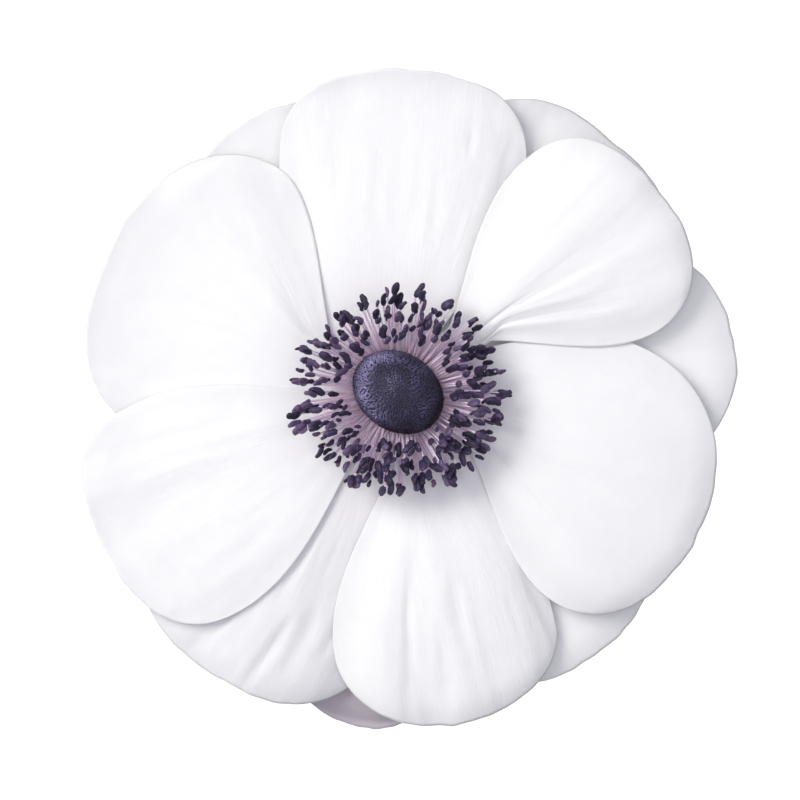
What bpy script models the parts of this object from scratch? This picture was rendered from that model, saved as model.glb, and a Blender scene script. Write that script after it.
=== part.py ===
"""A white poppy anemone: one cut flower head, resting face up on its back.

Units are metres and +Z is up. The origin is on the surface that the flower rests on, at the
centre of its outline. Azimuths are degrees counter-clockwise from +X, seen from above.
"""

import math
import random
from collections import namedtuple

import bmesh
import bpy
from mathutils import Matrix, Vector

MM = 0.001
GAP = 0.3 * MM  # left between pieces that touch
MERGE_DISTANCE = 0.01 * MM  # points nearer than this become one

# The flower's own axis, from the centre of its outline.
AXIS_X = -1.4 * MM
AXIS_Y = 1.2 * MM

# Stem stub and receptacle: one grown piece.
STEM_RADIUS = 2.3 * MM
STEM_TOP = 1.9 * MM
FLARE_HEIGHT = 0.8 * MM  # over which the stem widens into the receptacle
FLARE_STEPS = 4
RECEPTACLE_RADIUS = 4.2 * MM
RECEPTACLE_TOP = 9.2 * MM

# Head of carpels: an oval button, wider than the receptacle under it.
DOME_LENGTH = 11.5 * MM
DOME_WIDTH = 9.3 * MM
DOME_HEIGHT = 6.3 * MM
DOME_FOOT = 0.72  # radius of its foot, as a share of its widest radius
DOME_GIRTH = 0.36  # height of its widest ring, as a share of its height
DOME_AZIMUTH = -34.0

# Tepals: white, petal-like, in two overlapping whorls.
TEPAL_THICKNESS = 0.35 * MM
CLAW_RADIUS = RECEPTACLE_RADIUS + GAP + 0.1 * MM  # where each tepal starts
CLAW_HALF_WIDTH = 2.2 * MM
LOWEST_CLAW = 3.0 * MM
LEVEL_AT_CLAW = 0.62 * MM  # height from one level of the overlap to the next, at the claws
LEVEL_AT_RIM = 1.0 * MM  # the same, where the tepals are broad
BROAD = 0.4  # share of the way from claw to tip where the levels are fully apart
CUPPED = 0.7  # share of the way where the margins have risen or sunk fully
WIDENING_POWER = 1.15  # above 1, a tepal is slender for longer next to its claw
TEPAL_ROWS = 9
TEPAL_COLUMNS = 10

# Pairs are for the side of lower azimuth and the side of higher azimuth. widths: half-widths in
# mm. waists: how far along the margin starts to widen, or less than 0 if it does at the claw.
# level: place in the overlap, lowest first. widest: where the tepal is broadest, as a share of
# the way from claw to tip. blunt: 2 is a round tip, more is squarer. heights: above the claw, in
# mm, at four even steps from claw to tip, blended as a Bezier curve. side_low, side_high: rise of
# the margins, in mm.
Tepal = namedtuple(
    "Tepal", "name azimuth reach widths waists level widest blunt heights side_low side_high"
)
TEPALS = (
    Tepal("tepal_outer_1", 8, 41.6, (14.5, 14.5), (0, 0), 2, (0.62, 0.62), 2.1,
          (0, 0.3, 1.7, 0.0), -0.3, -0.5),
    Tepal("tepal_outer_2", 49, 41.0, (16.5, 16.5), (0, 0), 1, (0.62, 0.62), 2.3,
          (0, 0.2, -0.2, -3.0), -0.8, 1.0),
    Tepal("tepal_outer_3", 118, 38.2, (15.0, 15.0), (0, 0), 0, (0.62, 0.62), 2.1,
          (0, 0.2, -0.5, -0.3), -0.5, -0.5),
    Tepal("tepal_outer_4", 264, 41.9, (13.5, 13.5), (0, 0), 0, (0.58, 0.58), 1.9,
          (0, 0.2, 1.6, -1.7), -0.5, -0.5),
    Tepal("tepal_outer_5", 308, 40.5, (15.0, 15.0), (0, 0), 1, (0.62, 0.62), 2.2,
          (0, 0.4, 1.5, -0.9), -0.4, -0.5),
    Tepal("tepal_inner_1", 39, 40.0, (14.1, 12.2), (0.31, 0.2), 5.4, (0.72, 0.72), 2.4,
          (0, 1.1, 2.5, 0.6), -0.6, -1.0),
    Tepal("tepal_inner_2", 88, 39.3, (14.7, 15.5), (-0.05, -0.38), 1.8, (0.70, 0.70), 2.4,
          (0, 3.2, -0.4, 1.6), -1.1, -0.2),
    Tepal("tepal_inner_3", 153, 39.2, (17.8, 18.5), (0.26, 0), 2.7, (0.62, 0.62), 2.2,
          (0, 3.8, -0.8, 1.8), -0.5, -1.3),
    Tepal("tepal_inner_4", 207, 40.4, (13.3, 15.0), (0, 0), 3.6, (0.70, 0.70), 2.5,
          (0, 3.2, -0.6, 1.8), -0.4, 0.3),
    Tepal("tepal_inner_5", 238, 41.2, (17.0, 15.0), (0, 0), 2.7, (0.66, 0.66), 2.3,
          (0, 3.3, 0.6, 0.9), -0.1, -2.7),
    Tepal("tepal_inner_6", 280, 41.4, (13.2, 14.0), (0.15, -0.3), 3.6, (0.70, 0.74), 2.0,
          (0, 2.1, 2.9, -0.4), -0.8, -1.5),
    Tepal("tepal_inner_7", 336, 40.4, (15.7, 17.0), (0.22, -0.3), 4.6, (0.68, 0.55), 2.2,
          (0, 1.1, 2.9, 0.0), -1.0, -0.8),
)

# Stamens: thin filaments from a collar round the receptacle, each with an anther at its end.
COLLAR_INNER = RECEPTACLE_RADIUS + GAP
COLLAR_OUTER = 5.1 * MM
COLLAR_HEIGHT = 0.6 * MM
FILAMENT_RADIUS = 0.14 * MM
NECK_RADIUS = 0.10 * MM
ANTHER_RADIUS = 0.36 * MM
ANTHER_LENGTH = 1.35 * MM
UNEVEN_SPACING = 0.22  # most that a stamen stands off its even place, as a share of the spacing
UNEVEN_HEIGHT = 0.25 * MM

# collar: height of the foot of the collar. reach, height: the middle of the anthers.
# spread: how far an anther may be from there, along the filament.
Whorl = namedtuple("Whorl", "name count collar reach height spread seed")
WHORLS = (
    Whorl("stamens_outer", 64, 6.9 * MM, 11.6 * MM, 11.9 * MM, 0.8 * MM, 3),
    Whorl("stamens_middle", 64, 7.8 * MM, 9.9 * MM, 12.7 * MM, 0.9 * MM, 5),
    Whorl("stamens_inner", 48, 8.7 * MM, 8.0 * MM, 13.2 * MM, 1.0 * MM, 8),
)


def clear_scene():
    for obj in list(bpy.data.objects):
        bpy.data.objects.remove(obj)


def new_collection(name):
    collection = bpy.data.collections.new(name)
    bpy.context.scene.collection.children.link(collection)
    return collection


def new_material(name, colour, roughness):
    material = bpy.data.materials.new(name)
    material.use_nodes = True
    shader = material.node_tree.nodes["Principled BSDF"]
    shader.inputs["Base Color"].default_value = (*colour, 1.0)
    shader.inputs["Roughness"].default_value = roughness
    shader.inputs["Metallic"].default_value = 0.0
    return material


def new_piece(name, mesh, material, collection, axis):
    """One sub-part: an object parented to the flower's axis."""
    piece = bpy.data.objects.new(name, mesh)
    piece.data.materials.clear()
    piece.data.materials.append(material)
    piece.data.shade_smooth()
    piece.parent = axis
    collection.objects.link(piece)
    return piece


def mesh_from_profile(name, points, closed=False):
    """A mesh of edges only, in the XZ plane, for a Screw modifier to turn."""
    count = len(points)
    edges = [(i, i + 1) for i in range(count - 1)]
    if closed:
        edges.append((count - 1, 0))
    mesh = bpy.data.meshes.new(name)
    mesh.from_pydata([(radius, 0.0, height) for radius, height in points], edges, [])
    return mesh


def turn(piece, steps):
    """Turns the piece's profile once round its own Z axis."""
    screw = piece.modifiers.new("turn", "SCREW")
    screw.axis = "Z"
    screw.angle = math.tau
    screw.steps = steps
    screw.render_steps = steps
    screw.use_merge_vertices = True
    screw.merge_threshold = MERGE_DISTANCE
    screw.use_smooth_shade = True


def smooth_step(value):
    value = min(max(value, 0.0), 1.0)
    return value * value * (3.0 - 2.0 * value)


def bezier(heights, share):
    """The height at a share of the way along, from four even control heights."""
    rest = 1.0 - share
    weights = (rest**3, 3 * rest**2 * share, 3 * rest * share**2, share**3)
    return sum(weight * height for weight, height in zip(weights, heights))


def make_receptacle(material, collection, axis):
    """The cut stub of the stem, flaring into the column that carries every other piece."""
    flare = []
    for step in range(FLARE_STEPS + 1):
        share = step / FLARE_STEPS
        radius = STEM_RADIUS + (RECEPTACLE_RADIUS - STEM_RADIUS) * smooth_step(share)
        flare.append((radius, STEM_TOP + share * FLARE_HEIGHT))
    profile = [
        (0.0, RECEPTACLE_TOP),
        (RECEPTACLE_RADIUS - 0.8 * MM, RECEPTACLE_TOP),
        (RECEPTACLE_RADIUS - 0.2 * MM, RECEPTACLE_TOP - 0.3 * MM),
        (RECEPTACLE_RADIUS, RECEPTACLE_TOP - 0.9 * MM),
        *reversed(flare),
        (STEM_RADIUS, 0.0),
        (0.0, 0.0),
    ]
    piece = new_piece("receptacle", mesh_from_profile("receptacle", profile), material, collection, axis)
    turn(piece, 24)
    return piece


def make_dome(material, collection, axis):
    """The head of carpels: a domed oval button, narrowed at its foot."""
    profile = []
    for step in range(9):
        angle = math.pi / 2 * (1 - step / 8)
        profile.append((math.cos(angle), DOME_GIRTH + (1 - DOME_GIRTH) * math.sin(angle)))
    for step in range(1, 4):
        angle = step / 3 * math.acos(DOME_FOOT)
        profile.append((math.cos(angle), DOME_GIRTH * (1 - step / 3)))
    profile.append((0.0, 0.0))
    points = [(radius * DOME_LENGTH / 2, height * DOME_HEIGHT) for radius, height in profile]
    points[0] = (0.0, DOME_HEIGHT)
    piece = new_piece("carpel_head", mesh_from_profile("carpel_head", points), material, collection, axis)
    turn(piece, 28)
    piece.scale = (1.0, DOME_WIDTH / DOME_LENGTH, 1.0)
    piece.rotation_euler = (0.0, 0.0, math.radians(DOME_AZIMUTH))
    piece.location = (0.0, 0.0, RECEPTACLE_TOP + GAP)
    return piece


def tepal_point(tepal, along, across):
    """A point of the tepal's middle surface, with the tepal pointing along +X.

    along runs from 0 at the claw to 1 at the tip, across from -1 to 1, margin to margin.
    """
    reach = tepal.reach * MM
    side = 0 if across < 0 else 1
    half_width = tepal.widths[side] * MM
    waist = tepal.waists[side]
    shoulder = CLAW_RADIUS + (reach - CLAW_RADIUS) * tepal.widest[side]
    tip = shoulder + (reach - shoulder) * (1 - abs(across) ** tepal.blunt) ** (1 / tepal.blunt)
    x = CLAW_RADIUS + (tip - CLAW_RADIUS) * along
    widening = math.sin(math.pi / 2 * max(along - waist, 0.0) / (1 - waist)) ** WIDENING_POWER
    y = across * (CLAW_HALF_WIDTH + (half_width - CLAW_HALF_WIDTH) * widening)
    share = (math.hypot(x, y) - CLAW_RADIUS) / (reach - CLAW_RADIUS)
    level_step = LEVEL_AT_CLAW + (LEVEL_AT_RIM - LEVEL_AT_CLAW) * smooth_step(share / BROAD)
    rise = (tepal.side_low, tepal.side_high)[side]
    z = LOWEST_CLAW + tepal.level * level_step
    z += bezier(tepal.heights, min(share, 1.0)) * MM
    z += rise * across**2 * smooth_step(share / CUPPED) * MM
    return Vector((x, y, z))


def make_tepal(tepal, material, collection, axis):
    """A thin curved shell on a grid, narrowed to a claw at its foot."""
    grid = bmesh.new()
    bmesh.ops.create_grid(grid, x_segments=TEPAL_ROWS, y_segments=TEPAL_COLUMNS, size=1.0)
    for vertex in grid.verts:
        along = (vertex.co.x + 1) / 2
        across = math.sin(math.pi / 2 * vertex.co.y)
        vertex.co = tepal_point(tepal, along, across)
    mesh = bpy.data.meshes.new(tepal.name)
    grid.to_mesh(mesh)
    grid.free()
    piece = new_piece(tepal.name, mesh, material, collection, axis)
    shell = piece.modifiers.new("thickness", "SOLIDIFY")
    shell.thickness = TEPAL_THICKNESS
    shell.offset = 0.0
    piece.rotation_euler = (0.0, 0.0, math.radians(tepal.azimuth))
    return piece


def stamen_points(whorl, index, dice):
    """Centreline points and radii of one stamen, from inside the collar to the anther's tip."""
    azimuth = math.tau * (index + dice.uniform(-UNEVEN_SPACING, UNEVEN_SPACING)) / whorl.count
    slide = whorl.spread * dice.uniform(-1, 1)
    lift = dice.uniform(-UNEVEN_HEIGHT, UNEVEN_HEIGHT)
    foot = Vector(((COLLAR_INNER + COLLAR_OUTER) / 2, 0, whorl.collar + COLLAR_HEIGHT / 2))
    head = Vector((whorl.reach, 0, whorl.height + lift))
    direction = (head - foot).normalized()
    head += direction * slide
    half = direction * ANTHER_LENGTH / 2
    turned = Matrix.Rotation(azimuth, 4, "Z")
    stations = (
        (foot, FILAMENT_RADIUS),
        (head - half, NECK_RADIUS),
        (head - half * 0.6, ANTHER_RADIUS * 0.85),
        (head + half * 0.3, ANTHER_RADIUS),
        (head + half, ANTHER_RADIUS * 0.3),
    )
    return [(turned @ point, radius) for point, radius in stations]


def add_stamen(curve, stations):
    """One tapered tube of the curve: thin along the filament, stout at the anther."""
    spline = curve.splines.new("POLY")
    spline.points.add(len(stations) - 1)
    for point, (place, radius) in zip(spline.points, stations):
        point.co = (*place, 1.0)
        point.radius = radius / ANTHER_RADIUS


def mesh_of_curve(name, curve):
    """The curve's tubes as a closed mesh, with their caps welded on."""
    guide = bpy.data.objects.new(name + "_curve", curve)
    bpy.context.scene.collection.objects.link(guide)
    graph = bpy.context.evaluated_depsgraph_get()
    mesh = bpy.data.meshes.new_from_object(guide.evaluated_get(graph))
    bpy.data.objects.remove(guide)
    welded = bmesh.new()
    welded.from_mesh(mesh)
    bmesh.ops.remove_doubles(welded, verts=welded.verts, dist=MERGE_DISTANCE)
    bmesh.ops.recalc_face_normals(welded, faces=welded.faces)
    welded.to_mesh(mesh)
    welded.free()
    return mesh


def make_whorl(whorl, material, collection, helpers, axis):
    """One ring of stamens, joined at their feet by a thin collar."""
    curve = bpy.data.curves.new(whorl.name, "CURVE")
    curve.dimensions = "3D"
    curve.bevel_depth = ANTHER_RADIUS
    curve.bevel_resolution = 1
    curve.use_fill_caps = True
    dice = random.Random(whorl.seed)
    for index in range(whorl.count):
        add_stamen(curve, stamen_points(whorl, index, dice))
    stamens = bpy.data.objects.new(whorl.name + "_stamens", mesh_of_curve(whorl.name, curve))
    stamens.parent = axis
    stamens.hide_render = True
    stamens.display_type = "WIRE"
    helpers.objects.link(stamens)

    foot = whorl.collar
    top = foot + COLLAR_HEIGHT
    corners = [(COLLAR_INNER, foot), (COLLAR_OUTER, foot), (COLLAR_OUTER, top), (COLLAR_INNER, top)]
    profile = mesh_from_profile(whorl.name + "_collar", corners[::-1], closed=True)
    piece = new_piece(whorl.name, profile, material, collection, axis)
    turn(piece, 36)
    union = piece.modifiers.new("join the stamens", "BOOLEAN")
    union.operation = "UNION"
    union.object = stamens
    return piece


def main():
    clear_scene()
    flower = new_collection("anemone_flower")
    helpers = new_collection("anemone_helpers")
    axis = bpy.data.objects.new("flower_axis", None)
    axis.location = (AXIS_X, AXIS_Y, 0.0)
    flower.objects.link(axis)

    green = new_material("receptacle_green", (0.30, 0.36, 0.20), 0.6)
    slate = new_material("carpel_slate", (0.05, 0.05, 0.11), 0.6)
    violet = new_material("stamen_violet", (0.08, 0.06, 0.14), 0.5)
    white = new_material("tepal_white", (0.90, 0.91, 0.94), 0.55)

    make_receptacle(green, flower, axis)
    make_dome(slate, flower, axis)
    for whorl in WHORLS:
        make_whorl(whorl, violet, flower, helpers, axis)
    for tepal in TEPALS:
        make_tepal(tepal, white, flower, axis)


main()
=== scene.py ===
import math
import random
from collections import namedtuple

import bpy
import numpy as np
from mathutils import Matrix, Vector, noise
from mathutils.bvhtree import BVHTree


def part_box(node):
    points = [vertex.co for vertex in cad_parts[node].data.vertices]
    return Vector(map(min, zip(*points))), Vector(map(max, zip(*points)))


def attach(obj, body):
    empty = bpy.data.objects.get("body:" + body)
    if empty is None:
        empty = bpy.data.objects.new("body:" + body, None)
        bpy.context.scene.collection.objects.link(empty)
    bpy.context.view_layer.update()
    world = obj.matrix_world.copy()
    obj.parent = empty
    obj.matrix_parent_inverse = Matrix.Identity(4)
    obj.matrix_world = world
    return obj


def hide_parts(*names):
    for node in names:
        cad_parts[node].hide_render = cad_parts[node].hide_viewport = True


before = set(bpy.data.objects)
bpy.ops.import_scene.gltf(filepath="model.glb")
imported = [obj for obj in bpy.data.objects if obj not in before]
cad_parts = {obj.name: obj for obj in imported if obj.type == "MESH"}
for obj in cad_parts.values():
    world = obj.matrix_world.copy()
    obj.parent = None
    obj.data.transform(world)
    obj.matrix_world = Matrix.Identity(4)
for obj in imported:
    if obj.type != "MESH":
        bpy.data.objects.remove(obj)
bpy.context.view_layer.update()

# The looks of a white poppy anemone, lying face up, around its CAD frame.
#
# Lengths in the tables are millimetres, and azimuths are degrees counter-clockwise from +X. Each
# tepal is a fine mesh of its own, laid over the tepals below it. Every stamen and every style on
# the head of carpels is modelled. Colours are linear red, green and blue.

MM = 0.001

# ---------------------------------------------------------------- sizes from the frame


def axis_of_flower():
    """The flower's own axis: the middle of the head of carpels, seen from above."""
    low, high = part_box("carpel_head")
    return Vector(((low.x + high.x) / 2, (low.y + high.y) / 2, 0.0))


AXIS = axis_of_flower()
RECEPTACLE_LOW, RECEPTACLE_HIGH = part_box("receptacle")
RECEPTACLE_RADIUS = (RECEPTACLE_HIGH.x - RECEPTACLE_LOW.x) / 2
DOME_LOW, DOME_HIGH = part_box("carpel_head")

# ---------------------------------------------------------------- tepals

# Down to WIDENING_POWER these are the CAD solid's own.
CLAW_RADIUS = RECEPTACLE_RADIUS + 0.4 * MM  # where each tepal starts
CLAW_HALF_WIDTH = 2.2 * MM
LOWEST_CLAW = 3.0 * MM
LEVEL_AT_CLAW = 0.62 * MM  # height from one level of the overlap to the next, at the claws
LEVEL_AT_RIM = 1.0 * MM  # the same, where the tepals are broad
BROAD = 0.4  # share of the way from claw to tip where the levels are fully apart
CUPPED = 0.7  # share of the way where the margins have risen or sunk fully
WIDENING_POWER = 1.15  # above 1, a tepal is slender for longer next to its claw
TEPAL_THICKNESS = 0.24 * MM
MARGIN_THICKNESS = 0.35  # as a share of the full thickness
TEPAL_ROWS = 96
TEPAL_COLUMNS = 80
TEPAL_CLEARANCE = 0.3 * MM  # between the middle surfaces of tepals that touch
SMOOTHINGS = 40  # of what raises a tepal over the ones below it
NOTCH_DEPTHS = (0.35, 0.15)  # in mm, of the broad and the narrow waves of the tip's outline
GRAIN = 0.03  # height in mm of the small unevenness all over a tepal
# Waves over half a tepal's width and over its length, and then waves per mm.
FOLD_WAVES = (2.6, 1.1)
CRINKLE_WAVES = (17.0, 7.0)
RUFFLE_WAVES = 0.11
GRAIN_WAVES = 0.8
# Where each begins, from the middle or the claw (0) to the margin (1).
RUFFLED_FROM = 0.6
THINNED_FROM = 0.75
NOISE_STEP = 7.3  # from one tepal's slice of the noise to the next one's
CURL_WIDTH = 3.6 * MM  # how far in from the margin it curls
VEINS_ACROSS = 34.0  # waves of the fine veins over half a tepal's width
VEINS_ALONG = 11.0  # and over its length
VEIN_DEPTH = 0.075 * MM

# The first eleven values are the CAD solid's own. Then, in mm, fold: broad lengthwise folds.
# ruffle: waves along the margin. crinkle: fine lengthwise creases. curl: how far the margin turns
# down, on the side of lower azimuth, at the tip and on the side of higher azimuth.
Tepal = namedtuple(
    "Tepal",
    "name azimuth reach widths waists level widest blunt heights side_low side_high "
    "fold ruffle crinkle curl",
)
TEPALS = (
    Tepal("tepal_outer_1", 8, 41.6, (14.5, 14.5), (0, 0), 2, (0.62, 0.62), 2.1,
          (0, 0.3, 1.7, 0.0), -0.3, -0.5, 0.3, 0.3, 0.05, (0.2, 0.3, 0.1)),
    Tepal("tepal_outer_2", 49, 41.0, (16.5, 16.5), (0, 0), 1, (0.62, 0.62), 2.3,
          (0, 0.2, -0.2, -3.0), -0.8, 1.0, 0.3, 0.4, 0.06, (0.3, 0.5, 0.3)),
    Tepal("tepal_outer_3", 118, 38.2, (15.0, 15.0), (0, 0), 0, (0.62, 0.62), 2.1,
          (0, 0.2, -0.5, -0.3), -0.5, -0.5, 0.3, 0.3, 0.04, (0, 0.1, 0.1)),
    Tepal("tepal_outer_4", 264, 41.9, (13.5, 13.5), (0, 0), 0, (0.58, 0.58), 1.9,
          (0, 0.2, 1.6, -1.7), -0.5, -0.5, 0.3, 0.3, 0.04, (1.4, 2.4, 2.2)),
    Tepal("tepal_outer_5", 308, 40.5, (15.0, 15.0), (0, 0), 1, (0.62, 0.62), 2.2,
          (0, 0.4, 1.5, -0.9), -0.4, -0.5, 0.3, 0.3, 0.05, (0.5, 0.3, 0.2)),
    Tepal("tepal_inner_1", 39, 40.0, (14.1, 12.2), (0.31, 0.2), 5.4, (0.72, 0.72), 2.4,
          (0, 1.1, 2.5, 0.6), -0.6, -1.0, 0.4, 0.3, 0.05, (0.7, 0.4, 0.2)),
    Tepal("tepal_inner_2", 88, 39.3, (14.7, 15.5), (-0.05, -0.38), 1.8, (0.70, 0.70), 2.4,
          (0, 3.2, -0.4, 1.6), -1.1, -0.2, 0.3, 0.5, 0.03, (0.3, 0.0, 0.0)),
    Tepal("tepal_inner_3", 153, 39.2, (17.8, 18.5), (0.26, 0), 2.7, (0.62, 0.62), 2.2,
          (0, 3.8, -0.8, 1.8), -0.5, -1.3, 0.4, 0.3, 0.05, (1.0, 0.1, 0.1)),
    Tepal("tepal_inner_4", 207, 40.4, (13.3, 15.0), (0, 0), 3.6, (0.70, 0.70), 2.5,
          (0, 3.2, -0.6, 1.8), -0.4, 0.3, 0.4, 0.3, 0.03, (0.4, 0.1, 0.2)),
    Tepal("tepal_inner_5", 238, 41.2, (17.0, 15.0), (0, 0), 2.7, (0.66, 0.66), 2.3,
          (0, 3.3, 0.6, 0.9), -0.1, -2.7, 0.5, 0.4, 0.07, (0.0, 0.3, 0.5)),
    Tepal("tepal_inner_6", 280, 41.4, (13.2, 14.0), (0.15, -0.3), 3.6, (0.70, 0.74), 2.0,
          (0, 2.1, 2.9, -0.4), -0.8, -1.5, 0.6, 0.4, 0.03, (0.3, 0.6, 0.7)),
    Tepal("tepal_inner_7", 336, 40.4, (15.7, 17.0), (0.22, -0.3), 4.6, (0.68, 0.55), 2.2,
          (0, 1.1, 2.9, 0.0), -1.0, -0.8, 0.5, 0.3, 0.04, (0.6, 0.4, 0.1)),
)

# Patches of sharper lengthwise creases. across and spread: the patch's middle and half-width, from
# margin to margin. start, end: along the tepal, from claw to tip. depth is in mm.
Creases = namedtuple("Creases", "tepal across spread start end count depth")
CREASES = (
    Creases("tepal_inner_1", -0.50, 0.45, 0.05, 0.80, 6, 0.30),
    Creases("tepal_inner_2", -0.60, 0.20, 0.30, 0.90, 12, 0.60),
    Creases("tepal_inner_2", 0.10, 0.60, 0.30, 0.90, 6, 0.12),
    Creases("tepal_inner_3", 0.45, 0.50, 0.30, 0.80, 11, 0.20),
    Creases("tepal_inner_4", 0.00, 0.80, 0.25, 0.95, 6, 0.12),
    Creases("tepal_inner_5", 0.10, 0.60, 0.25, 1.10, 8, 0.65),
    Creases("tepal_inner_6", 0.15, 0.80, 0.38, 1.10, 6, 0.48),
    Creases("tepal_inner_7", 0.00, 0.80, 0.20, 0.90, 6, 0.18),
    Creases("tepal_outer_1", 0.00, 0.90, 0.30, 1.10, 7, 0.20),
    Creases("tepal_outer_2", 0.00, 0.90, 0.30, 1.10, 8, 0.30),
    Creases("tepal_outer_5", 0.00, 0.90, 0.30, 1.10, 8, 0.30),
)

FADE_BEYOND = 0.2  # how far beyond its spread a patch of creases is gone
FADE_ACROSS = 0.3  # over what share of the half-width it fades
FADE_IN = 0.25  # and of the length, after its start
FADE_OUT = 0.2  # and before its end

# Painted shade on the tepals that lie in shade: how light the white of a tepal is left, at its claw and at
# its tip, below 1 where shade is painted. Those not named are 1 all over.
PAINTED_SHADE_LIGHTNESS = {
    "tepal_inner_5": (0.84, 0.82),
    "tepal_outer_2": (0.95, 0.90),
    "tepal_outer_3": (0.85, 0.85),
    "tepal_outer_4": (1.0, 0.05),
}
TIP_FROM = 0.7  # share of the way along where the claw's painted shade starts to give way to the tip's
TIP_FADE = 0.2  # over what further share it does

# ---------------------------------------------------------------- stamens

# In mm, collar: height of the foot of the CAD solid's collar. reach, height: where the filaments
# end, under their anthers. spread: how much further in or out one may end.
Whorl = namedtuple("Whorl", "name count collar reach height spread seed")
WHORLS = (
    Whorl("stamens_outer", 118, 6.9, 11.2, 11.9, 1.0, 3),
    Whorl("stamens_middle", 130, 7.8, 9.4, 12.7, 1.1, 5),
    Whorl("stamens_inner", 112, 8.7, 7.4, 13.2, 1.2, 8),
)
UNEVEN_SPACING = 0.4  # most that a stamen stands off its even place, as a share of the spacing
CROWDING = 0.22  # how much closer the stamens stand on the crowded side
CROWDED_AZIMUTH = math.radians(300.0)
CROWN_OVALNESS = 0.035  # how much further the anthers reach along X, and less along Y
FILAMENT_FOOT = 4.1  # mm from the flower's axis
FILAMENT_RADIUS = 0.15 * MM
NECK_RADIUS = 0.1 * MM
FILAMENT_STEPS = 9
FILAMENT_SIDES = 6
SLOPE = 0.4  # how much higher a filament ends for each mm that it ends further out
ANTHER_LENGTH = 1.7 * MM
ANTHER_HALF_WIDTH = 0.33 * MM
ANTHER_SIDES = 12
ANTHER_RINGS = 9
ANTHER_LOBES = 0.28  # how far its two lobes stand out, as a share of its half-width
ANTHER_SIZES = (0.65, 1.2)  # smallest and largest, as shares of the length above
ANTHER_STOUTNESS = (0.85, 1.3)
ANTHER_OVERHANG = 0.75  # how far its middle is beyond the filament's end, in halves of its length

# ---------------------------------------------------------------- camera and light

FRAME_WIDTH = 97.7 * MM  # what the picture takes in, at the height of the tepals
FRAME_HEIGHT = 6.0 * MM  # that height
LENS = 150.0  # mm
SENSOR = 36.0  # mm
CAMERA_OFFSET = Vector((0.24, -0.98, 0.0)) * MM  # from the flower's axis
KEY_AZIMUTH = 150.0
KEY_ELEVATION = 45.0
KEY_POWER = 6.85
KEY_COLOUR = (1.0, 0.99, 0.92)
KEY_SIZE = 0.6  # metres across
KEY_DISTANCE = 1.0  # metres
# Light from all round: stops from straight down (0) through level (0.5) to straight up (1).
SKY = (
    (0.0, (0.12, 0.12, 0.13)),
    (0.48, (0.16, 0.16, 0.175)),
    (0.52, (0.20, 0.20, 0.22)),
    (0.9, (0.40, 0.40, 0.43)),
    (0.955, (0.50, 0.50, 0.54)),
    (0.975, (2.1, 2.1, 2.27)),
    (1.0, (2.5, 2.5, 2.7)),
)
FLOOR_SIZE = 2.0  # metres
FLOOR_GLOW = 1.2

# ---------------------------------------------------------------- colours

# Stops of the colour ramps. Each is a place from 0 to 1 and a colour.
WHITE = (1.0, 1.0, 1.0)
# From claw to tip: a lilac tint at the claw, darkened there as painted shade under the stamens.
TEPAL_TINT_AND_CLAW_SHADE = (
    (0.0, (0.50, 0.38, 0.52)),
    (0.05, (0.76, 0.68, 0.80)),
    (0.11, (0.93, 0.925, 0.945)),
    (0.3, (0.935, 0.935, 0.95)),
)
# From the hollows of a fine noise to its heights.
TEPAL_MOTTLE = ((0.3, (0.98, 0.98, 0.985)), (0.7, WHITE))
DARK_MOTTLE = ((0.3, (0.6, 0.58, 0.6)), (0.7, WHITE))
STEM_GREENS = ((0.3, (0.20, 0.25, 0.10)), (0.7, (0.42, 0.47, 0.26)))
# Painted shade on the tepals, from the darkest to none.
TEPAL_PAINTED_SHADE_LIGHTNESS = ((0.0, (0.56, 0.50, 0.55)), (1.0, WHITE))
# From foot to anther.
FILAMENT_TINT = (
    (0.0, (0.72, 0.42, 0.56)),
    (0.15, (0.90, 0.70, 0.86)),
    (0.6, (0.96, 0.82, 0.98)),
    (1.0, (0.90, 0.70, 0.93)),
)
# From the darkest lobe or style to the palest.
ANTHER_TONES = ((0.0, (0.014, 0.010, 0.030)), (0.55, (0.056, 0.037, 0.098)), (1.0, (0.17, 0.11, 0.23)))
CARPEL_TONES = ((0.0, (0.02, 0.018, 0.036)), (1.0, (0.06, 0.054, 0.10)))
STYLE_TONES = ((0.0, (0.024, 0.012, 0.028)), (0.5, (0.095, 0.088, 0.185)), (1.0, (0.52, 0.46, 0.78)))


def smooth_step(value):
    value = np.clip(value, 0.0, 1.0)
    return value * value * (3.0 - 2.0 * value)


def bezier(heights, share):
    """The height at a share of the way along, from four even control heights."""
    rest = 1.0 - share
    weights = (rest**3, 3 * rest**2 * share, 3 * rest * share**2, share**3)
    return sum(weight * height for weight, height in zip(weights, heights))


def noise_field(xs, ys, seed):
    """Smooth noise from -1 to 1 at each place of two arrays of one shape."""
    flat = [noise.noise((x, y, seed)) for x, y in zip(xs.ravel(), ys.ravel())]
    return np.array(flat).reshape(xs.shape)


def show(name, mesh, material, slot, *nodes):
    """Makes a mesh a piece of the flower that stands for CAD nodes, with the material given. slot is not
    used.
    """
    piece = bpy.data.objects.new(name, mesh)
    bpy.context.scene.collection.objects.link(piece)
    mesh.materials.append(material)
    mesh.shade_smooth()
    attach(piece, "root")
    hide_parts(*nodes)
    return piece


# ---------------------------------------------------------------- materials


def new_material(name):
    """A material with its nodes, its links and its shader."""
    material = bpy.data.materials.new(name)
    material.use_nodes = True
    nodes = material.node_tree.nodes
    return material, nodes, material.node_tree.links, nodes["Principled BSDF"]


def add_noise(nodes, links, vector, scale, detail, roughness=0.5):
    """Noise over a vector, with its waves closer together the larger scale is."""
    texture = nodes.new("ShaderNodeTexNoise")
    texture.inputs["Scale"].default_value = scale
    texture.inputs["Detail"].default_value = detail
    texture.inputs["Roughness"].default_value = roughness
    links.new(vector, texture.inputs["Vector"])
    return texture.outputs["Fac"]


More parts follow.
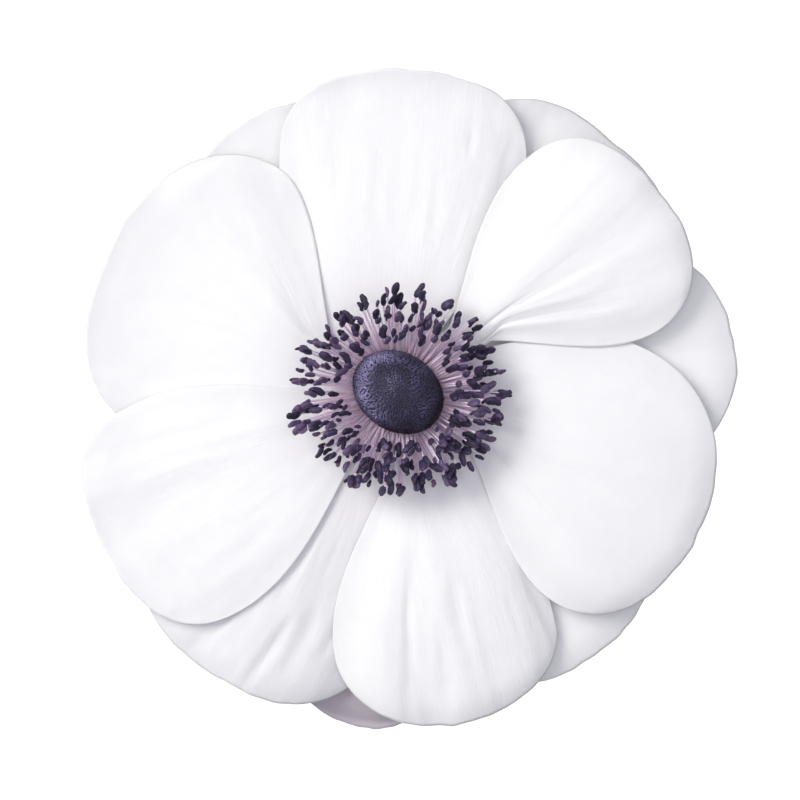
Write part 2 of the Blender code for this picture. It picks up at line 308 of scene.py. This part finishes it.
def add_ramp(nodes, links, factor, *stops):
    """A colour ramp. Each stop is a place from 0 to 1 and a colour."""
    ramp = nodes.new("ShaderNodeValToRGB")
    elements = ramp.color_ramp.elements
    while len(elements) < len(stops):
        elements.new(1.0)
    for element, (place, colour) in zip(elements, stops):
        element.position = place
        element.color = (*colour, 1.0)
    links.new(factor, ramp.inputs["Fac"])
    return ramp.outputs["Color"]


def add_bump(nodes, links, height, shader, strength, distance):
    """Makes a shader's surface look raised where height is large. distance is in metres."""
    bump = nodes.new("ShaderNodeBump")
    bump.inputs["Strength"].default_value = strength
    bump.inputs["Distance"].default_value = distance
    links.new(height, bump.inputs["Height"])
    links.new(bump.outputs["Normal"], shader.inputs["Normal"])


def attribute(nodes, name):
    """The value that a mesh carries at each of its points."""
    node = nodes.new("ShaderNodeAttribute")
    node.attribute_name = name
    return node.outputs["Fac"]


def multiply(nodes, links, first, second):
    """The product of two colours."""
    mix = nodes.new("ShaderNodeMix")
    mix.data_type = "RGBA"
    mix.blend_type = "MULTIPLY"
    mix.inputs["Factor"].default_value = 1.0
    links.new(first, mix.inputs["A"])
    links.new(second, mix.inputs["B"])
    return mix.outputs["Result"]


def tepal_material():
    """White tissue: fine veins, a lilac tint at the claw darkened there as painted shade under the
    stamens, painted shade on tepals that lie in shade, and a soft sheen.
    """
    material, nodes, links, shader = new_material("tepal")
    place = nodes.new("ShaderNodeTexCoord").outputs["Object"]
    tint = add_ramp(nodes, links, attribute(nodes, "along"), *TEPAL_TINT_AND_CLAW_SHADE)
    mottle = add_noise(nodes, links, place, scale=350.0, detail=4.0)
    shade = add_ramp(nodes, links, mottle, *TEPAL_MOTTLE)
    # Painted shade: darkens the tepals that lie in shade.
    painted_shade_lightness = add_ramp(nodes, links, attribute(nodes, "painted_shade_lightness"), *TEPAL_PAINTED_SHADE_LIGHTNESS)
    tint = multiply(nodes, links, tint, painted_shade_lightness)
    links.new(multiply(nodes, links, tint, shade), shader.inputs["Base Color"])
    shader.inputs["Roughness"].default_value = 0.55
    shader.inputs["Specular IOR Level"].default_value = 0.3
    shader.inputs["Subsurface Weight"].default_value = 0.25
    shader.inputs["Subsurface Radius"].default_value = (1.0, 0.95, 0.9)
    shader.inputs["Subsurface Scale"].default_value = 0.6 * MM
    shader.inputs["Sheen Weight"].default_value = 0.05
    grain = nodes.new("ShaderNodeCombineXYZ")
    for axis, name, count in (("X", "across", VEINS_ACROSS), ("Y", "along", VEINS_ALONG)):
        scaled = nodes.new("ShaderNodeMath")
        scaled.operation = "MULTIPLY"
        scaled.inputs[1].default_value = count
        links.new(attribute(nodes, name), scaled.inputs[0])
        links.new(scaled.outputs["Value"], grain.inputs[axis])
    veins = add_noise(nodes, links, grain.outputs["Vector"], scale=1.0, detail=3.0, roughness=0.6)
    add_bump(nodes, links, veins, shader, strength=0.5, distance=VEIN_DEPTH)
    return material


def dark_material(name, stops, roughness, scale):
    """Dark velvety tissue. Its colour comes from the tone each lobe or style carries, which on the styles
    also holds painted light and shade, and from a fine mottle.
    """
    material, nodes, links, shader = new_material(name)
    place = nodes.new("ShaderNodeTexCoord").outputs["Object"]
    colour = add_ramp(nodes, links, attribute(nodes, "tone"), *stops)
    mottle = add_noise(nodes, links, place, scale, detail=4.0)
    shade = add_ramp(nodes, links, mottle, *DARK_MOTTLE)
    links.new(multiply(nodes, links, colour, shade), shader.inputs["Base Color"])
    shader.inputs["Roughness"].default_value = roughness
    shader.inputs["Specular IOR Level"].default_value = 0.35
    shader.inputs["Sheen Weight"].default_value = 0.1
    shader.inputs["Sheen Tint"].default_value = (0.8, 0.7, 1.0, 1.0)
    add_bump(nodes, links, mottle, shader, strength=0.4, distance=0.08 * MM)
    return material


def filament_material():
    """Lilac threads, redder at their feet."""
    material, nodes, links, shader = new_material("filament")
    colour = add_ramp(nodes, links, attribute(nodes, "tone"), *FILAMENT_TINT)
    links.new(colour, shader.inputs["Base Color"])
    shader.inputs["Roughness"].default_value = 0.35
    shader.inputs["Subsurface Weight"].default_value = 0.2
    shader.inputs["Subsurface Scale"].default_value = 0.2 * MM
    return material


def stem_material():
    """Mottled green, slightly rough."""
    material, nodes, links, shader = new_material("stem")
    place = nodes.new("ShaderNodeTexCoord").outputs["Object"]
    mottle = add_noise(nodes, links, place, scale=500.0, detail=4.0)
    colour = add_ramp(nodes, links, mottle, *STEM_GREENS)
    links.new(colour, shader.inputs["Base Color"])
    shader.inputs["Roughness"].default_value = 0.5
    fuzz = add_noise(nodes, links, place, scale=1500.0, detail=3.0)
    add_bump(nodes, links, fuzz, shader, strength=0.4, distance=0.1 * MM)
    return material


# ---------------------------------------------------------------- making the tepals


def crease_field(tepal, across, along, seed):
    """The tepal's own patches of sharper lengthwise creases, in metres."""
    total = np.zeros_like(across)
    for patch in CREASES:
        if patch.tepal != tepal.name:
            continue
        inside = patch.spread - np.abs(across - patch.across)
        window = smooth_step((inside + FADE_BEYOND) / FADE_ACROSS)
        window = window * smooth_step((along - patch.start) / FADE_IN)
        window = window * smooth_step((patch.end - along) / FADE_OUT)
        waves = noise_field(across * patch.count, along * 3.0, seed + 60)
        ridged = 0.5 - np.abs(waves) * 2.0
        total += patch.depth * MM * window * (0.6 * waves + 0.4 * ridged)
    return total


def margin_curl(tepal, across, from_margin):
    """How far the margin turns down, in metres. The tip has an amount of its own."""
    low, tip, high = tepal.curl
    side = np.where(across < 0, low, high)
    amount = tip + (side - tip) * smooth_step((np.abs(across) - 0.25) / 0.6)
    return amount * MM * np.clip(1 - from_margin / CURL_WIDTH, 0.0, 1.0) ** 2


def by_side(across, pair):
    """The first of a pair on the side of lower azimuth, and the second on the other."""
    return np.where(across > 0, pair[1], pair[0])


def tepal_outline(tepal, along, across, seed):
    """Arrays of x and y, with the tepal along +X, and of the distance from the margin."""
    reach = tepal.reach * MM
    half_width = by_side(across, tepal.widths) * MM
    waist = by_side(across, tepal.waists)
    shoulder = CLAW_RADIUS + (reach - CLAW_RADIUS) * by_side(across, tepal.widest)
    edge = 1 - np.abs(across) ** tepal.blunt
    broad = NOTCH_DEPTHS[0] * noise_field(across * 3.1, across * 0 + 4.0, seed)
    narrow = NOTCH_DEPTHS[1] * noise_field(across * 9, across * 0, seed)
    tip = shoulder + (reach - shoulder) * np.maximum(edge, 0.0) ** (1 / tepal.blunt)
    tip = tip + (broad + narrow) * MM * edge
    x = CLAW_RADIUS + (tip - CLAW_RADIUS) * along
    widening = np.sin(math.pi / 2 * np.maximum(along - waist, 0.0) / (1 - waist)) ** WIDENING_POWER
    width = CLAW_HALF_WIDTH + (half_width - CLAW_HALF_WIDTH) * widening
    from_side = (1 - np.abs(across)) * width + 0.01 * MM
    from_tip = (1 - along) * (tip - CLAW_RADIUS) + 0.01 * MM
    return x, across * width, 1 / np.sqrt(from_side**-2 + from_tip**-2)


def tepal_relief(tepal, x, y, along, across, share, seed):
    """The folds, waves and creases that the CAD solid doesn't have, in metres."""
    spread = smooth_step(share / 0.6)
    outward = np.maximum(np.abs(across), along**2)
    margin = smooth_step((outward - RUFFLED_FROM) / (1 - RUFFLED_FROM))
    folds = tepal.fold * noise_field(across * FOLD_WAVES[0], share * FOLD_WAVES[1], seed + 10)
    ruffles = noise_field(x / MM * RUFFLE_WAVES, y / MM * RUFFLE_WAVES, seed + 30)
    ruffles = tepal.ruffle * margin * ruffles
    crinkles = noise_field(across * CRINKLE_WAVES[0], share * CRINKLE_WAVES[1], seed + 40)
    crinkles = tepal.crinkle * crinkles
    grain = GRAIN * noise_field(x / MM * GRAIN_WAVES, y / MM * GRAIN_WAVES, seed + 50)
    creases = crease_field(tepal, across, share, seed)
    return (folds + ruffles + crinkles + grain) * MM * spread + creases


def tepal_grid(tepal, seed):
    """Arrays of x, y, z, along and across, rows from claw to tip, with the tepal along +X."""
    rows = np.linspace(0.0, 1.0, TEPAL_ROWS)
    columns = np.sin(np.linspace(-1.0, 1.0, TEPAL_COLUMNS) * math.pi / 2)
    along, across = np.meshgrid(rows, columns, indexing="ij")
    x, y, from_margin = tepal_outline(tepal, along, across, seed)
    share = (np.hypot(x, y) - CLAW_RADIUS) / (tepal.reach * MM - CLAW_RADIUS)
    level_step = LEVEL_AT_CLAW + (LEVEL_AT_RIM - LEVEL_AT_CLAW) * smooth_step(share / BROAD)
    side = np.where(across < 0, tepal.side_low, tepal.side_high)
    z = LOWEST_CLAW + tepal.level * level_step
    z = z + bezier(tepal.heights, np.minimum(share, 1.0)) * MM
    z = z + side * across**2 * smooth_step(share / CUPPED) * MM
    z = z - margin_curl(tepal, across, from_margin) * smooth_step(share / 0.5)
    z = z + tepal_relief(tepal, x, y, along, across, share, seed)
    return x, y, z, along, across


def blurred(field):
    """The field averaged with its neighbours, with its edges kept free."""
    padded = np.pad(field, 1, mode="edge")
    around = padded[:-2, 1:-1] + padded[2:, 1:-1] + padded[1:-1, :-2] + padded[1:-1, 2:]
    return (field + around) / 5


def lay_over(x, y, z, below):
    """Raises z, smoothly, where the tepals below would come through."""
    if below is None:
        return z
    lift = np.zeros_like(z)
    well_above = 100 * MM
    down = Vector((0, 0, -1))
    for index in np.ndindex(z.shape):
        hit = below.ray_cast(Vector((x[index], y[index], well_above)), down)[0]
        if hit is not None:
            lift[index] = max(0.0, hit.z + TEPAL_CLEARANCE - z[index])
    needed = lift.copy()
    for _ in range(SMOOTHINGS):
        lift = np.maximum(needed, blurred(lift))
    return z + lift


def grid_faces(rows, columns):
    """Quads of a grid of vertices, row by row."""
    return [
        (i * columns + j, (i + 1) * columns + j, (i + 1) * columns + j + 1, i * columns + j + 1)
        for i in range(rows - 1)
        for j in range(columns - 1)
    ]


def add_thickness(piece, along, across):
    """Gives a tepal its thickness, less towards the margins and the tip."""
    thickness = piece.vertex_groups.new(name="thickness")
    outward = np.maximum(np.abs(across), along**3)
    body = 1 - smooth_step((outward - THINNED_FROM) / (1 - THINNED_FROM))
    for index, weight in enumerate(body.ravel()):
        thickness.add([index], float(weight), "REPLACE")
    shell = piece.modifiers.new("thickness", "SOLIDIFY")
    shell.thickness = TEPAL_THICKNESS
    shell.offset = 0.0
    shell.vertex_group = thickness.name
    shell.thickness_vertex_group = MARGIN_THICKNESS


def make_tepals(material):
    """Each tepal from the lowest up, laid over those that are already there."""
    faces = grid_faces(TEPAL_ROWS, TEPAL_COLUMNS)
    stack_points, stack_faces = [], []
    for rank, tepal in enumerate(sorted(TEPALS, key=lambda t: t.level)):
        x, y, z, along, across = tepal_grid(tepal, rank * NOISE_STEP)
        turn = math.radians(tepal.azimuth)
        east = AXIS.x + x * math.cos(turn) - y * math.sin(turn)
        north = AXIS.y + x * math.sin(turn) + y * math.cos(turn)
        below = BVHTree.FromPolygons(stack_points, stack_faces) if stack_points else None
        z = lay_over(east, north, z, below)
        z = np.maximum(z, TEPAL_THICKNESS / 2)
        points = [tuple(point) for point in np.stack([east, north, z], -1).reshape(-1, 3)]
        start = len(stack_points)
        stack_points += points
        stack_faces += [tuple(start + i for i in face) for face in faces]

        mesh = bpy.data.meshes.new(tepal.name + "_shape")
        mesh.from_pydata(points, [], faces)
        # Painted shade, at the claw and at the tip of this tepal.
        claw, tip = PAINTED_SHADE_LIGHTNESS.get(tepal.name, (1.0, 1.0))
        painted_shade_lightness = claw + (tip - claw) * smooth_step((along - TIP_FROM) / TIP_FADE)
        for name, values in (("along", along), ("across", across), ("painted_shade_lightness", painted_shade_lightness)):
            layer = mesh.attributes.new(name, "FLOAT", "POINT")
            layer.data.foreach_set("value", values.ravel().astype(np.float32))
        piece = show(tepal.name + "_fine", mesh, material, "tepals", tepal.name)
        add_thickness(piece, along, across)


# ---------------------------------------------------------------- tubes and lobes


class Builder:
    """Gathers closed tubes into one mesh. Each of its points carries a tone from 0 to 1."""

    def __init__(self):
        self.points = []
        self.faces = []
        self.tones = []

    def tube(self, path, radii, sides, section=None, tones=None):
        """A closed tube along a path. section holds a factor of the radius for each side."""
        start = len(self.points)
        count = len(path)
        factors = section or [1.0] * sides
        tangent = (path[1] - path[0]).normalized()
        across = tangent.orthogonal().normalized()
        for i in range(count):
            ahead = path[min(i + 1, count - 1)] - path[max(i - 1, 0)]
            ahead.normalize()
            across = (across - ahead * across.dot(ahead)).normalized()
            other = ahead.cross(across)
            for side in range(sides):
                turn = math.tau * side / sides
                spoke = across * math.cos(turn) + other * math.sin(turn)
                self.points.append(path[i] + spoke * radii[i] * factors[side])
                self.tones.append(tones[i] if tones else 0.5)
        for i in range(count - 1):
            for side in range(sides):
                a = start + i * sides + side
                b = start + i * sides + (side + 1) % sides
                self.faces.append((a, b, b + sides, a + sides))
        self.faces.append(tuple(start + side for side in reversed(range(sides))))
        self.faces.append(tuple(start + (count - 1) * sides + side for side in range(sides)))

    def mesh(self, name):
        mesh = bpy.data.meshes.new(name)
        mesh.from_pydata([tuple(p) for p in self.points], [], self.faces)
        mesh.attributes.new("tone", "FLOAT", "POINT").data.foreach_set("value", self.tones)
        return mesh


def arc(start, control, end, steps):
    """Points along a quadratic curve."""
    points = []
    for step in range(steps):
        t = step / (steps - 1)
        points.append(start * (1 - t) ** 2 + control * 2 * t * (1 - t) + end * t**2)
    return points


def add_anther(anthers, end, direction, size, turn, dice):
    """A bent, uneven body of two lobes, which covers the end of its filament."""
    half = direction * ANTHER_LENGTH * size / 2
    centre = end + half * ANTHER_OVERHANG
    hook = Vector((0, dice.uniform(-0.35, 0.35), dice.uniform(-0.2, 0.2))) * MM
    stoutness = ANTHER_HALF_WIDTH * size * dice.uniform(*ANTHER_STOUTNESS)
    stations, widths = [], []
    for ring in range(ANTHER_RINGS):
        angle = math.pi * (0.04 + 0.92 * ring / (ANTHER_RINGS - 1))
        bow = hook * math.cos(angle) ** 2
        stations.append(turn @ (centre - half * math.cos(angle) + bow))
        widths.append(stoutness * math.sin(angle) ** 0.6 * dice.uniform(0.84, 1.14))
    turns = [math.tau * side / ANTHER_SIDES for side in range(ANTHER_SIDES)]
    lobes = [1.0 + ANTHER_LOBES * math.cos(2 * angle) for angle in turns]
    tone = dice.random()
    tones = [tone + dice.uniform(-0.2, 0.2) for ring in range(ANTHER_RINGS)]
    anthers.tube(stations, widths, ANTHER_SIDES, lobes, tones)


def add_stamen(filaments, anthers, whorl, index, dice):
    """One stamen, shaped along +X and then turned to its azimuth."""
    azimuth = math.tau * (index + dice.uniform(-UNEVEN_SPACING, UNEVEN_SPACING)) / whorl.count
    azimuth -= CROWDING * math.sin(azimuth - CROWDED_AZIMUTH)
    slide = whorl.spread * dice.uniform(-1, 1)
    lift = dice.uniform(-1.0, 0.8)
    sway = dice.uniform(-0.9, 0.9)
    foot = Vector((FILAMENT_FOOT, 0, whorl.collar + 0.3 + dice.uniform(-0.3, 0.3))) * MM
    reach = whorl.reach * (1 + CROWN_OVALNESS * math.cos(2 * azimuth)) + slide
    head = Vector((reach, sway, whorl.height + lift + SLOPE * slide)) * MM
    middle = (foot + head) / 2 + Vector((0.5, sway * 0.2, -0.7 + dice.uniform(-0.3, 0.3))) * MM
    path = arc(foot, middle, head, FILAMENT_STEPS)
    size = dice.uniform(*ANTHER_SIZES)
    lean = Vector((dice.uniform(-0.2, 0.8), dice.uniform(-0.45, 0.45), dice.uniform(-0.8, 0.8)))
    direction = ((path[-1] - path[-2]).normalized() + lean).normalized()
    turn = Matrix.Translation(AXIS) @ Matrix.Rotation(azimuth, 4, "Z")
    paleness = dice.uniform(-0.1, 0.1)
    shares = [step / (FILAMENT_STEPS - 1) for step in range(FILAMENT_STEPS)]
    radii = [FILAMENT_RADIUS + (NECK_RADIUS - FILAMENT_RADIUS) * share for share in shares]
    tones = [share * 0.9 + paleness for share in shares]
    filaments.tube([turn @ point for point in path], radii, FILAMENT_SIDES, None, tones)
    add_anther(anthers, path[-1], direction, size, turn, dice)


def make_stamens(filament_look, anther_look):
    """Two pieces for each whorl: all its filaments, and all its anthers."""
    for whorl in WHORLS:
        dice = random.Random(whorl.seed)
        filaments, anthers = Builder(), Builder()
        for index in range(whorl.count):
            add_stamen(filaments, anthers, whorl, index, dice)
        place = whorl.name.removeprefix("stamens_")
        for name, builder, look in (
            ("filaments_" + place, filaments, filament_look),
            ("anthers_" + place, anthers, anther_look),
        ):
            show(name, builder.mesh(name), look, "stamens", whorl.name)


# ---------------------------------------------------------------- head of carpels

DOME_LENGTH = 11.5 * MM
DOME_WIDTH = 9.3 * MM
DOME_AZIMUTH = -34.0
DOME_GIRTH = 0.36  # height of its widest ring, as a share of its height
DOME_SPREAD = math.radians(130.0)  # angle of its skin, from the top down to the foot
UNDERSIDE = 0.8  # depth of its curve below the widest ring, as a share of the one above it
CORE_ROWS = 28
CORE_SIDES = 64
CORE_DEPTH = 0.6  # of the dark skin that the styles stand in, as a share of their length
ROOT_DEPTH = 0.7  # of the styles' feet
STYLE_COUNT = 4500
STYLE_SEED = 21
STYLE_COVER = 1.45  # 1 less the cosine of the angle down to which the styles stand
STYLE_LENGTH = 0.32 * MM
STYLE_RADIUS = 0.08 * MM
STYLE_SHAPE = (1.0, 1.1, 0.9, 0.4)  # of its radius, from foot to tip
STYLE_SHADES = (0.8, 0.9, 1.0, 1.0)  # of its tone, from foot to tip
STYLE_SIDES = 4
GOLDEN_ANGLE = math.pi * (3 - math.sqrt(5))
COMBING = 1.1  # how far whole tufts of styles lean the same way
TANGLING = 0.35  # and how far each one leans its own way
PAINTED_LIGHT_SIDE = Vector((-0.75, 0.65, 0.0))  # painted light: the styles are painted paler towards it, the side the lamp lights
PAINTED_SHADE_FROM = 0.42  # share of the way down where painted shade starts to darken them


def dome_point(share, azimuth, shrink=0.0):
    """A point of the dome's skin and its outward normal. share is 0 at the top, 1 at the foot."""
    height = DOME_HIGH.z - DOME_LOW.z
    girth = DOME_GIRTH * height
    semi = Vector((DOME_LENGTH / 2 - shrink, DOME_WIDTH / 2 - shrink, height - girth - shrink))
    angle = share * DOME_SPREAD
    radial = math.sin(angle)
    rise = math.cos(angle)
    if rise < 0:
        rise *= UNDERSIDE
    local = Vector(
        (semi.x * radial * math.cos(azimuth), semi.y * radial * math.sin(azimuth), semi.z * rise)
    )
    normal = Vector((local.x / semi.x**2, local.y / semi.y**2, local.z / semi.z**2)).normalized()
    turn = Matrix.Rotation(math.radians(DOME_AZIMUTH), 3, "Z")
    return AXIS + turn @ local + Vector((0, 0, DOME_LOW.z + girth)), turn @ normal


def make_core(look):
    """The dark body that the styles stand on."""
    points = [
        dome_point(row / (CORE_ROWS - 1), math.tau * side / CORE_SIDES, STYLE_LENGTH * CORE_DEPTH)[0]
        for row in range(1, CORE_ROWS)
        for side in range(CORE_SIDES)
    ]
    builder = Builder()
    builder.points = [Vector((point.x, point.y, max(point.z, DOME_LOW.z))) for point in points]
    builder.tones = [0.5] * len(points)
    last_row = (CORE_ROWS - 2) * CORE_SIDES
    for start in range(0, last_row, CORE_SIDES):
        for side in range(CORE_SIDES):
            a = start + side
            b = start + (side + 1) % CORE_SIDES
            builder.faces.append((a, a + CORE_SIDES, b + CORE_SIDES, b))
    builder.faces.append(tuple(range(CORE_SIDES)))
    builder.faces.append(tuple(reversed(range(last_row, last_row + CORE_SIDES))))
    show("carpel_head_core", builder.mesh("carpel_head_core"), look, "carpel_head", "carpel_head")


def add_style(styles, index, dice):
    """One style, in its place on the spiral that covers the dome evenly."""
    angle = math.acos(1 - STYLE_COVER * (index + 0.5) / STYLE_COUNT)
    share = angle / DOME_SPREAD + dice.uniform(-0.012, 0.012)
    azimuth = index * GOLDEN_ANGLE + dice.uniform(-0.02, 0.02) / max(share, 0.05)
    root, normal = dome_point(share, azimuth, STYLE_LENGTH * ROOT_DEPTH)
    place = root / MM
    comb = noise.noise_vector(place * 0.4) * COMBING
    tangle = Vector((dice.uniform(-1, 1), dice.uniform(-1, 1), dice.uniform(-1, 1))) * TANGLING
    lean = comb + tangle
    lean -= normal * lean.dot(normal)
    direction = (normal + lean).normalized()
    length = STYLE_LENGTH * dice.uniform(0.85, 1.1)
    path = arc(root, root + normal * length * 0.5, root + direction * length, len(STYLE_SHAPE))
    radii = [STYLE_RADIUS * factor for factor in STYLE_SHAPE]
    patch = noise.noise(place * 0.4 + Vector((3.0, 8.0, 1.0)))
    fine = noise.noise(place * 2.2)
    # Painted light and shade: paler towards the lamp's side and darker down towards the foot, over random
    # tone.
    painted_light = (root - AXIS).dot(PAINTED_LIGHT_SIDE) / DOME_LENGTH
    tone = 0.58 + 0.5 * patch + 0.12 * fine + 0.75 * painted_light + dice.uniform(-0.06, 0.06)
    tone -= 1.9 * max(0.0, share - PAINTED_SHADE_FROM)
    tone = min(max(tone, 0.0), 1.0)
    styles.tube(path, radii, STYLE_SIDES, None, [tone * factor for factor in STYLE_SHADES])


def make_dome(body_look, style_look):
    """The head of carpels. Without a seed, noise_vector would differ from one run to the next."""
    make_core(body_look)
    noise.seed_set(STYLE_SEED)
    dice = random.Random(STYLE_SEED)
    styles = Builder()
    for index in range(STYLE_COUNT):
        add_style(styles, index, dice)
    show("carpel_head_styles", styles.mesh("carpel_head_styles"), style_look, "carpel_head", "carpel_head")


# ---------------------------------------------------------------- receptacle and stem

# Height and radius in mm, from the cut of the stem upwards.
RECEPTACLE_PROFILE = (
    (0.02, 1.9), (0.06, 2.2), (0.15, 2.3), (1.0, 2.25), (1.9, 2.3), (2.1, 2.6), (2.3, 3.2), (2.5, 3.8),
    (2.7, 4.1), (4.0, 4.2), (6.0, 4.15), (8.0, 4.1), (8.8, 4.0), (9.1, 3.7), (9.2, 3.3),
)
RECEPTACLE_SIDES = 48
RIBS = 12
RIB_DEPTH = 0.015  # as a share of the radius


def make_receptacle(look):
    """The ribbed stem and the receptacle on it, in one."""
    path = [Vector((AXIS.x, AXIS.y, height * MM)) for height, radius in RECEPTACLE_PROFILE]
    radii = [radius * MM for height, radius in RECEPTACLE_PROFILE]
    turns = [RIBS * math.tau * side / RECEPTACLE_SIDES for side in range(RECEPTACLE_SIDES)]
    ribs = [1.0 - RIB_DEPTH * math.cos(turn) for turn in turns]
    builder = Builder()
    builder.tube(path, radii, RECEPTACLE_SIDES, ribs)
    show("receptacle_fine", builder.mesh("receptacle_fine"), look, "receptacle", "receptacle")


# ---------------------------------------------------------------- stage


def make_floor():
    """A plain white sheet that gives off its own light, so that nothing darkens it."""
    bpy.ops.mesh.primitive_plane_add(size=FLOOR_SIZE)
    floor = bpy.context.active_object
    floor.name = "floor"
    floor.visible_diffuse = False
    material, _, _, shader = new_material("floor")
    shader.inputs["Base Color"].default_value = (0.0, 0.0, 0.0, 1.0)
    shader.inputs["Roughness"].default_value = 1.0
    shader.inputs["Specular IOR Level"].default_value = 0.0
    shader.inputs["Emission Color"].default_value = (*WHITE, 1.0)
    shader.inputs["Emission Strength"].default_value = FLOOR_GLOW
    floor.data.materials.append(material)


def direction_to(azimuth, elevation):
    """The unit vector that points to an azimuth and an elevation in degrees."""
    a, e = math.radians(azimuth), math.radians(elevation)
    return Vector((math.cos(a) * math.cos(e), math.sin(a) * math.cos(e), math.sin(e)))


def make_lights():
    """One broad, slightly warm lamp, and light from all round."""
    towards_key = direction_to(KEY_AZIMUTH, KEY_ELEVATION)
    key = bpy.data.lights.new("key", "AREA")
    key.shape = "DISK"
    key.size = KEY_SIZE
    key.energy = KEY_POWER
    key.color = KEY_COLOUR
    lamp = bpy.data.objects.new("key", key)
    lamp.location = AXIS + towards_key * KEY_DISTANCE
    lamp.rotation_euler = towards_key.to_track_quat("Z", "Y").to_euler()
    bpy.context.scene.collection.objects.link(lamp)

    world = bpy.data.worlds.new("studio")
    bpy.context.scene.world = world
    world.use_nodes = True
    nodes, links = world.node_tree.nodes, world.node_tree.links
    height = nodes.new("ShaderNodeSeparateXYZ")
    links.new(nodes.new("ShaderNodeTexCoord").outputs["Generated"], height.inputs["Vector"])
    place = nodes.new("ShaderNodeMapRange")
    place.inputs["From Min"].default_value = -1.0
    links.new(height.outputs["Z"], place.inputs["Value"])
    sky = add_ramp(nodes, links, place.outputs["Result"], *SKY)
    links.new(sky, nodes["Background"].inputs["Color"])
    nodes["Background"].inputs["Strength"].default_value = 1.0


def make_camera():
    """Looks straight down, from as far as the picture's width asks for."""
    camera = bpy.data.cameras.new("camera")
    camera.lens = LENS
    camera.sensor_width = SENSOR
    camera.clip_start = 0.01
    seat = bpy.data.objects.new("camera", camera)
    distance = FRAME_WIDTH * LENS / SENSOR
    seat.location = AXIS + CAMERA_OFFSET + Vector((0, 0, FRAME_HEIGHT + distance))
    bpy.context.scene.collection.objects.link(seat)
    bpy.context.scene.camera = seat


make_camera()
make_floor()
make_lights()
make_tepals(tepal_material())
make_stamens(
    filament_material(),
    dark_material("anther", ANTHER_TONES, roughness=0.5, scale=900.0),
)
make_dome(
    dark_material("carpel_body", CARPEL_TONES, roughness=0.6, scale=600.0),
    dark_material("carpel_style", STYLE_TONES, roughness=0.5, scale=900.0),
)
make_receptacle(stem_material())
bpy.context.scene.view_settings.view_transform = "Standard"
